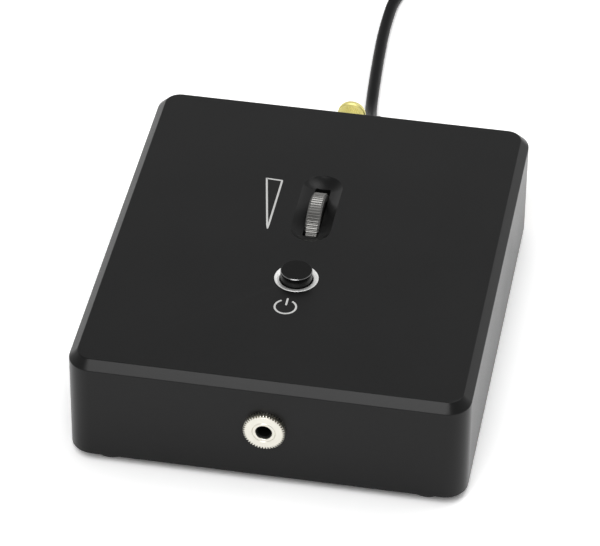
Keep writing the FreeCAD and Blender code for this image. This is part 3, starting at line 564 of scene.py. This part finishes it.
def onOutside(a, b):
    # the three outer loops of arrises: both of the top chamfer's and the bottom's
    level = any(abs(a.z - z * mm) < 2e-6 and abs(b.z - z * mm) < 2e-6
                for z in (place["topZ"], shell["chamferZ"], shell["bottomZ"]))
    middle = (a + b) / 2
    outX = shell["halfWidth"] * mm - abs(middle.x)
    outY = shell["halfDepth"] * mm - abs(middle.y - place["middleY"] * mm)
    inCorner = max(outX, outY) < shell["cornerReach"] * mm
    onTop = middle.z > (place["topZ"] + shell["chamferZ"]) / 2 * mm
    reach = (shell["topReach"] if onTop else shell["sideReach"]) * mm
    return level and (outX < reach or outY < reach or inCorner) and (a - b).length > 1e-5


print("arrises picked:", pickEdges(housing, onOutside))
bpy.ops.mesh.bevel(offset=shell["arris"] * mm, segments=2, affect="EDGES", clamp_overlap=True)
bpy.ops.object.mode_set(mode="OBJECT")
# the wheel's window, drawn in on each side
slackX, slackY = shell["slotSlack"]
pick(housing, "vertices", lambda v: abs(v.co.x) < (shell["slotHalf"] + slackX) * mm
     and v.co.z > shell["slotLow"] * mm
     and abs(v.co.y - place["wheelY"] * mm) < (shell["slotReach"] + slackY) * mm)
closer = 1 - shell["slotCloser"] / shell["slotHalf"]
bpy.ops.transform.resize(value=(closer, 1, 1), center_override=(0, place["wheelY"] * mm, 0))
bpy.ops.object.mode_set(mode="OBJECT")

# the finger pocket is milled again with a finer ball, so that it shades without facets
pocket = {"ball": 9.02, "travel": 18.4, "centreZ": 40.2}
clearSelection()
bpy.ops.mesh.primitive_uv_sphere_add(segments=256, ring_count=96, radius=pocket["ball"] * mm,
                                     rotation=(math.pi / 2, 0, 0))
cutter = settle("pocketCutter")
for side in (-1, 1):
    pick(cutter, "vertices", lambda v: v.co.y * side > 1e-6)
    bpy.ops.transform.translate(value=(0, side * pocket["travel"] / 2 * mm, 0))
    bpy.ops.object.mode_set(mode="OBJECT")
setDown(cutter, "up", (0, place["wheelY"], pocket["centreZ"]))
modifier(housing, "BOOLEAN", object=cutter, operation="DIFFERENCE", solver="EXACT")
bpy.data.objects.remove(cutter)
smooth(housing, 30)
modifier(housing, "WEIGHTED_NORMAL", keep_sharp=True)
finishPiece(housing, "case", blackAnodised, ["housing"])
print("housing:", len(housing.data.polygons), "faces")

# printed marks on the top: the volume wedge and the power sign

marks = {
    "thickness": 0.03,
    "stroke": 0.52,
    "wedge": [(-15.91, 16.87), (-11.03, 16.65), (-11.07, -8.25)],
    "tipCut": 4.9,
    "cornerCut": 0.4,
    "signCentre": (-0.68, -36.87),
    "signRadius": 3.05,
    "signStroke": 0.52,
    "gapAngle": 31,
    "bar": (-0.64, -33.3, -36.2),
    "barWidth": 0.52,
}


def raisePrint(piece):
    # gives the flat print its ink thickness, standing on the top face
    modifier(piece, "SOLIDIFY", thickness=marks["thickness"] * mm, offset=1.0)
    finishPiece(piece, "case", whitePrint)


def wedgeMark():
    clearSelection()
    z = place["topZ"] * mm
    bpy.ops.mesh.primitive_circle_add(vertices=3, radius=0.01, fill_type="NGON", location=(0, 0, z))
    piece = settle("volumeWedge")
    corners = [Vector((x * mm, y * mm, z)) for x, y in marks["wedge"]]
    centre = sum(corners, Vector()) / 3
    corners.sort(key=lambda p: math.atan2(p.y - centre.y, p.x - centre.x))
    spots = [v.co.copy() for v in piece.data.vertices]
    order = sorted(range(3), key=lambda k: math.atan2(spots[k].y, spots[k].x))
    for k, corner in zip(order, corners):
        pick(piece, "vertices", lambda v: v.index == k)
        bpy.ops.transform.translate(value=corner - spots[k])
    tip = min(corners, key=lambda p: p.y)
    for cut, atTip in ((marks["tipCut"], True), (marks["cornerCut"], False)):
        pick(piece, "vertices", lambda v: (abs(v.co.y - tip.y) < 1e-6) == atTip
             and any((v.co - corner).length < 1e-6 for corner in corners))
        bpy.ops.mesh.bevel(offset=cut * mm, segments=3, affect="VERTICES")
    bpy.ops.mesh.select_mode(type="FACE")
    bpy.ops.mesh.select_all(action="SELECT")
    bpy.ops.mesh.inset(thickness=marks["stroke"] * mm)
    bpy.ops.mesh.delete(type="ONLY_FACE")
    bpy.ops.object.mode_set(mode="OBJECT")
    raisePrint(piece)


def powerSign():
    clearSelection()
    x, y = marks["signCentre"]
    z = place["topZ"]
    bpy.ops.mesh.primitive_circle_add(vertices=72, radius=marks["signRadius"] * mm, fill_type="NGON",
                                      location=(x * mm, y * mm, z * mm))
    ring = settle("powerSignRing")
    bpy.ops.object.mode_set(mode="EDIT")
    bpy.ops.mesh.select_all(action="SELECT")
    bpy.ops.mesh.inset(thickness=marks["signStroke"] * mm)
    bpy.ops.mesh.delete(type="ONLY_FACE")
    pick(ring, "faces", lambda f: marks["gapAngle"]
         > abs(math.degrees(math.atan2(f.center.x - x * mm, f.center.y - y * mm))))
    bpy.ops.mesh.delete(type="FACE")
    bpy.ops.object.mode_set(mode="OBJECT")
    raisePrint(ring)
    clearSelection()
    barX, barTop, barBottom = marks["bar"]
    bpy.ops.mesh.primitive_plane_add(size=1, location=(barX * mm, (barTop + barBottom) / 2 * mm, z * mm))
    bar = bpy.context.object
    bar.scale = (marks["barWidth"] * mm, (barTop - barBottom) * mm, 1)
    bar = settle("powerSignBar")
    bpy.ops.object.mode_set(mode="EDIT")
    bpy.ops.mesh.select_all(action="SELECT")
    bpy.ops.mesh.bevel(offset=marks["barWidth"] * 0.3 * mm, segments=3, affect="VERTICES")
    bpy.ops.object.mode_set(mode="OBJECT")
    raisePrint(bar)


wedgeMark()
powerSign()
print("prints laid on the top")

# push button: a turned cap in a dished bright ring

ring = turnedPiece("trimRing", [
    (button["ringInner"], button["ringBottom"]), (button["ringOuter"], button["ringBottom"]),
    (button["ringOuter"], place["topZ"]), (button["ringOuter"] - 0.06, place["topZ"] + 0.05),
    (button["ringOuter"] - 0.2, place["topZ"] + 0.05),
    (button["ringInner"] + 0.12, place["topZ"] - 0.18), (button["ringInner"], place["topZ"] - 0.28)], 128)
smooth(ring, 20)
setDown(ring, "up", (0, place["buttonY"], 0))
finishPiece(ring, "case", ringMetal, ["button_ring"])

edge = button["edge"]
cap = turnedPiece("buttonCap", [
    (0, button["boreTop"]), (button["boreRadius"], button["boreTop"]),
    (button["boreRadius"], button["capBottom"]), (button["capRadius"], button["capBottom"]),
    (button["capRadius"], button["capTop"] - edge),
    (button["capRadius"] - edge, button["capTop"]), (0, button["capTop"])], 128)
smooth(cap, 20)
setDown(cap, "up", (0, place["buttonY"], 0))
finishPiece(cap, "button", capAnodised, ["power_button"])
print("button done")

# thumbwheel: a knurled rim, dished sides and a hub on its shaft

wheel = {"teeth": 72, "radius": 11.0, "depth": 0.24, "width": 3.8, "edge": 0.45, "bore": 3.0,
         "hubRadius": 4.8, "hubLength": 3.6, "dish": 0.4, "dishReach": 9.0}
w = wheel
segments = w["teeth"] * 4
thumbwheel = turnedPiece("thumbwheel", [
    (w["bore"], 0), (w["hubRadius"] + 1.0, 0), (w["hubRadius"] + 1.4, w["dish"]),
    (w["dishReach"] - w["dish"], w["dish"]), (w["dishReach"], 0),
    (w["radius"] - w["edge"], 0), (w["radius"], w["edge"]),
    (w["radius"], w["width"] - w["edge"]), (w["radius"] - w["edge"], w["width"]),
    (w["dishReach"], w["width"]), (w["dishReach"] - w["dish"], w["width"] - w["dish"]),
    (w["hubRadius"] + 0.6, w["width"] - w["dish"]),
    (w["hubRadius"], w["width"]), (w["hubRadius"], w["width"] + w["hubLength"]),
    (w["bore"], w["width"] + w["hubLength"])], segments)
knurl(thumbwheel, w["teeth"], w["depth"], w["radius"], w["edge"], w["width"] - w["edge"], segments)
smooth(thumbwheel, 25)
setDown(thumbwheel, "right", (-w["width"] / 2, place["wheelY"], place["wheelZ"]))
finishPiece(thumbwheel, "volume", wheelMetal, ["volume_wheel"])
print("thumbwheel done")

# headphone jack: a serrated nut, a gold lip and the dark liner of the bore

jack = {"teeth": 44, "radius": 5.5, "depth": 0.55, "thickness": 1.6, "edge": 0.2, "bush": 3.0,
        "mouth": 2.15, "lip": 0.65, "bore": 1.8, "length": 5.6}
j = jack
segments = j["teeth"] * 4
jackNut = turnedPiece("jackNut", [
    (j["bush"], 0), (j["radius"], 0), (j["radius"], j["thickness"] - j["edge"]),
    (j["radius"] - j["edge"], j["thickness"]), (j["bush"] + 0.1, j["thickness"]),
    (j["bush"], j["thickness"] - 0.1)], segments)
knurl(jackNut, j["teeth"], j["depth"], j["radius"], 0, j["thickness"] - j["edge"], segments)
knurl(jackNut, j["teeth"], j["depth"], j["radius"] - j["edge"], j["thickness"], j["thickness"], segments)
smooth(jackNut, 25)
setDown(jackNut, "front", (0, place["frontY"], place["jackZ"]))
finishPiece(jackNut, "case", nutGold, ["jack_nut"])

faceY = place["frontY"] - j["thickness"]
jackLip = turnedPiece("jackBush", [
    (j["mouth"], 0), (j["mouth"] + 0.12, -0.12), (j["bush"] - 0.12, -0.12), (j["bush"], 0),
    (j["bush"], j["length"] - 0.2), (j["mouth"], j["length"] - 0.2)], 96)
smooth(jackLip, 25)
setDown(jackLip, "rear", (0, faceY + 0.12, place["jackZ"]))
finishPiece(jackLip, "case", nutGold, ["jack_bush"])
jackLiner = turnedPiece("jackLiner", [
    (j["bore"], j["lip"] + 0.1), (j["bore"] + 0.1, j["lip"]), (j["mouth"] - 0.01, j["lip"]),
    (j["mouth"] - 0.01, j["length"] - 0.1), (j["bore"], j["length"] - 0.1)], 96)
smooth(jackLiner, 25)
setDown(jackLiner, "rear", (0, faceY, place["jackZ"]))
finishPiece(jackLiner, "case", boreBlack)
print("jack done")

# rear: ground terminal, phono sockets and the lead's grommet

ground = {"teeth": 48, "radius": 4.0, "depth": 0.2, "length": 11.95, "bore": 2.1, "gap": 6.05, "neck": 2.75}
g = ground
segments = g["teeth"] * 4
knob = turnedPiece("groundKnob", [
    (g["bore"], -0.85), (3.0, -0.85), (3.0, -0.55), (g["neck"], -0.55), (g["neck"], 0),
    (g["radius"] - 0.5, 0), (g["radius"] - 0.1, 0.3), (g["radius"], 0.6),
    (g["radius"], 9.2), (g["radius"] - 0.35, 9.5), (g["radius"] - 0.35, 10.2), (g["radius"] - 0.05, 10.5),
    (g["radius"] - 0.05, 11.2), (g["radius"] - 0.25, 11.7), (g["radius"] - 0.7, g["length"]),
    (g["bore"] + 0.3, g["length"]), (g["bore"], g["length"] - 0.3)], segments)
knurl(knob, g["teeth"], g["depth"], g["radius"], 0.6, 9.2, segments)
smooth(knob, 25)
setDown(knob, "rear", (place["groundX"], place["rearY"] + g["gap"], place["jackZ"]))
finishPiece(knob, "ground_knob", groundGold, ["ground_knob"])

disc = {"bore": 2.85, "hollow": 3.1, "radius": 4.6, "thickness": 1.0, "gap": 5.0}
d = disc
washer = turnedPiece("groundWasher", [
    (d["bore"], 0.5), (d["hollow"], 0.5), (d["hollow"], 0), (d["radius"] - 0.2, 0), (d["radius"], 0.15),
    (d["radius"], d["thickness"] - 0.15), (d["radius"] - 0.2, d["thickness"]),
    (d["bore"] + 0.1, d["thickness"]), (d["bore"], d["thickness"] - 0.1)], 96)
smooth(washer, 25)
setDown(washer, "rear", (place["groundX"], place["rearY"] + d["gap"], place["jackZ"]))
finishPiece(washer, "ground_washer", groundGold, ["ground_washer"])

sockets = {"thread": 4.6, "shell": 4.15, "bore": 3.4, "reach": 9.5, "wall": 4.0, "nut": 2.2, "flats": 10.0,
           "insulator": 0.8, "contact": 2.1, "contactBore": 1.6, "contactInset": 1.4, "whiteReach": 20}
s = sockets
insulatorFace = s["reach"] - s["insulator"]
contactFace = s["reach"] - s["contactInset"]
shellMaster = turnedPiece("phonoShell", [
    (s["bore"], -s["wall"]), (s["thread"], -s["wall"]), (s["thread"], s["nut"] + 0.25),
    (s["thread"] - 0.25, s["nut"] + 0.45), (s["shell"], s["nut"] + 0.45), (s["shell"], s["reach"] - 0.35),
    (s["shell"] - 0.12, s["reach"] - 0.1), (s["shell"] - 0.3, s["reach"]), (s["bore"] + 0.15, s["reach"]),
    (s["bore"], s["reach"] - 0.2)], 96)
smooth(shellMaster, 25)
insulatorMaster = turnedPiece("phonoInsulator", [
    (s["contact"], -s["wall"]), (s["bore"], -s["wall"]), (s["bore"], insulatorFace),
    (s["bore"] - 0.35, insulatorFace), (s["bore"] - 0.5, insulatorFace - 0.2),
    (s["contact"] + 0.3, insulatorFace - 0.2), (s["contact"], insulatorFace)], 96)
smooth(insulatorMaster, 25)
contactMaster = turnedPiece("phonoContact", [
    (s["contactBore"], -s["wall"]), (s["contact"], -s["wall"]), (s["contact"], contactFace - 0.1),
    (s["contact"] - 0.15, contactFace), (s["contactBore"] + 0.2, contactFace),
    (s["contactBore"], contactFace - 0.3)], 64)
smooth(contactMaster, 25)
corner = s["flats"] / math.sqrt(3)
nutMaster = turnedPiece("phonoNut", [
    (s["thread"], 0), (corner, 0), (corner, s["nut"]), (s["thread"], s["nut"])], 6)
soften(nutMaster, 0.25, 2, 50)
smooth(nutMaster, 25)
white = ("white_plastic", whitePlastic, "rca_insulators_white")
red = ("red_plastic", redPlastic, "rca_insulators_red")
for k, x in enumerate(place["rcaX"]):
    spot = (x, place["rearY"], place["rcaZ"])
    for master, name, slot, material, node in (
            (shellMaster, "phonoShell", "gold", socketGold, "rca_shells"),
            (insulatorMaster, "phonoInsulator", *(white if abs(x) < s["whiteReach"] else red)),
            (contactMaster, "phonoContact", "gold", socketGold, "rca_contacts"),
            (nutMaster, "phonoNut", "gold", socketGold, "rca_nuts")):
        piece = copied(master, f"{name}{k + 1}")
        setDown(piece, "rear", spot)
        finishPiece(piece, "case", material, [node])
for master in (shellMaster, insulatorMaster, contactMaster, nutMaster):
    bpy.data.objects.remove(master)

# a flange inside, a collar outside, and a sleeve with two grooves that thins towards the lead
grommet = turnedPiece("leadGrommet", [
    (lead["radius"], -6), (3.6, -6), (3.6, -4), (3.0, -4), (3.0, 0), (3.2, 0), (3.2, 1.0), (3.0, 1.2),
    (2.95, 1.2), (2.75, 1.35), (2.75, 1.8), (2.95, 1.95), (2.85, 2.5), (2.6, 2.65), (2.6, 3.1), (2.75, 3.25),
    (2.62, 3.9), (2.42, 4.05), (2.42, 4.4), (2.5, 4.55), (2.38, 5.0), (lead["radius"], 5.0)], 64)
smooth(grommet, 30)
setDown(grommet, "rear", (place["cordX"], place["rearY"], place["jackZ"]))
finishPiece(grommet, "case", blackPlastic, ["cord_grommet"])
print("rear done")

# feet

rubber = {"hole": 1.7, "hollow": 3.0, "hollowTop": 2.0, "sole": 4.8, "radius": 4.95, "height": 3.0}
r = rubber
foot = turnedPiece("foot", [
    (r["hole"], r["hollowTop"]), (r["hollow"], r["hollowTop"]), (r["hollow"], 0.15), (r["hollow"] + 0.1, 0),
    (r["sole"] - 0.3, 0), (r["sole"], 0.15), (r["sole"] + 0.1, 0.6), (r["radius"], r["height"] - 0.3),
    (r["radius"] - 0.1, r["height"] - 0.1), (r["radius"] - 0.25, r["height"]), (r["hole"], r["height"])], 96)
smooth(foot, 40)
for k, (x, y) in enumerate((x, y) for x in (-place["footX"], place["footX"]) for y in place["footY"]):
    piece = copied(foot, f"foot{k + 1}")
    setDown(piece, "up", (x, y, 0))
    finishPiece(piece, "case", footRubber, ["feet"])
bpy.data.objects.remove(foot)
print("feet done")

# mains adapter at the far end, lying on its side

adapter = {"low": (-12.5, 260.3, 0.0), "high": (12.5, 300.3, 35.0), "shoulder": 5.0, "edge": 3.0,
           "seam": 0.3, "reliefY": 248.3, "reliefZ": 6.5, "reliefLength": 12.0, "ribs": 5, "ribStart": 0.9,
           "ribPitch": 2.2, "thin": 2.4, "thick": 3.6}
a = adapter


def adapterBody():
    clearSelection()
    size = [high - low for low, high in zip(a["low"], a["high"])]
    middle = [(high + low) / 2 * mm for low, high in zip(a["low"], a["high"])]
    bpy.ops.mesh.primitive_cube_add(size=1, location=middle)
    bpy.context.object.scale = [v * mm for v in size]
    piece = settle("adapterBody")
    soften(piece, a["edge"], 5, 60)
    back = a["high"][1] * mm
    pick(piece, "faces", lambda f: f.normal.y > 0.999 and abs(f.center.y - back) < 1e-6)
    bpy.ops.mesh.extrude_region_move(TRANSFORM_OT_translate={"value": (0, a["shoulder"] * mm, 0)})
    bpy.ops.object.mode_set(mode="OBJECT")
    for x in (-a["seam"], a["seam"]):
        bpy.ops.object.mode_set(mode="EDIT")
        bpy.ops.mesh.select_all(action="SELECT")
        bpy.ops.mesh.bisect(plane_co=(x * mm / 2, 0, 0), plane_no=(1, 0, 0))
        bpy.ops.object.mode_set(mode="OBJECT")
    pick(piece, "faces", lambda f: abs(f.center.x) < a["seam"] * mm / 2.2)
    bpy.ops.mesh.extrude_region_shrink_fatten(TRANSFORM_OT_shrink_fatten={"value": -a["seam"] * mm})
    bpy.ops.object.mode_set(mode="OBJECT")
    smooth(piece, 30)
    return piece


adapterShell = finishPiece(adapterBody(), "case", blackPlastic, ["adapter_body"])
reliefRings = [(lead["radius"], 0), (a["thin"] - 0.1, 0)]
for k in range(a["ribs"]):
    y = a["ribStart"] + a["ribPitch"] * k
    across = a["thin"] + (a["thick"] - a["thin"]) * k / a["ribs"]
    reliefRings += [(across, y - 0.3), (across + 0.1, y), (across + 0.1, y + 0.9), (across - 0.25, y + 1.1),
                    (across - 0.25, y + 1.6)]
reliefRings += [(a["thick"], a["reliefLength"] - 1.0), (a["thick"], a["reliefLength"]),
                (lead["radius"], a["reliefLength"])]
relief = turnedPiece("adapterRelief", reliefRings, 64)
smooth(relief, 30)
setDown(relief, "rear", (0, a["reliefY"], a["reliefZ"]))
finishPiece(relief, "case", blackPlastic, ["adapter_relief"])
print("adapter done")

finishPiece(supplyLead, "case", leadRubber, ["power_cord", "cord_coil", "adapter_lead"])

# floor, world and lamps

studio = {
    "floorSize": 9.0,
    "floorColour": 0.76,
    "floorShown": 1.36,
    "horizonLevel": 1.0,
    "ceilingLevel": 0.45,
    "keyPower": 8.2,
    "keySize": 0.8,
    "keyPlace": (-0.08, -0.76, 1.04),
    "topPower": 3.2,
    "topSize": 0.9,
    "topPlace": (0.5, 0.35, 1.2),
    "rearPower": 2.2,
    "rearSize": 0.8,
    "rearPlace": (0.2, 0.55, 1.3),
    "aim": (0, 0, 0.02),
    "skyFade": (0.2, 0.85),
}


def raysThatShow(wire):
    # 1 for rays from the camera, off gloss or through glass, and 0 for the light that falls on things
    camera, glossy, clear = [wire.node("LightPath", output=f"Is {kind} Ray")
                             for kind in ("Camera", "Glossy", "Transmission")]
    return camera.maths("MAXIMUM", camera, glossy.maths("MAXIMUM", glossy, clear))


clearSelection()
bpy.ops.mesh.primitive_plane_add(size=studio["floorSize"], location=(0, 0, 0))
floor = settle("floor")
floorMaterial = bpy.data.materials.new("paleFloor")
floorMaterial.use_nodes = True
tree = floorMaterial.node_tree
tree.nodes.clear()
floorOut = tree.nodes.new("ShaderNodeOutputMaterial")
seen = raysThatShow(Wire(tree))
floorColour = seen.colours(rgb(studio["floorColour"]), rgb(studio["floorShown"]))
floorShader = seen.node("BsdfDiffuse", {}, {"Color": floorColour})
tree.links.new(floorShader.socket, floorOut.inputs[0])
floor.data.materials.append(floorMaterial)

world = bpy.data.worlds.new("studio")
bpy.context.scene.world = world
world.use_nodes = True
tree = world.node_tree
tree.nodes.clear()
worldOut = tree.nodes.new("ShaderNodeOutputWorld")
x, y, z = Wire(tree).node("TexCoord", output="Generated").axisParts()
seen = raysThatShow(z)
paler = seen * (1.0 - z.between(*studio["skyFade"])) * (studio["horizonLevel"] - studio["ceilingLevel"])
level = paler + studio["ceilingLevel"]
sky = z.node("Background", {}, {"Color": rgb(1.0), "Strength": level})
tree.links.new(sky.socket, worldOut.inputs[0])


def areaLamp(name, spot, power, size):
    data = bpy.data.lights.new(name, "AREA")
    data.shape = "DISK"
    data.size = size
    data.energy = power
    lamp = bpy.data.objects.new(name, data)
    lamp.location = spot
    lamp.rotation_mode = "QUATERNION"
    lamp.rotation_quaternion = (Vector(spot) - Vector(studio["aim"])).to_track_quat("Z", "Y")
    bpy.context.scene.collection.objects.link(lamp)


areaLamp("keyLamp", studio["keyPlace"], studio["keyPower"], studio["keySize"])
areaLamp("topLamp", studio["topPlace"], studio["topPower"], studio["topSize"])
areaLamp("rearLamp", studio["rearPlace"], studio["rearPower"], studio["rearSize"])
bpy.context.scene.view_settings.view_transform = "Standard"
print("studio set")

clearSelection()
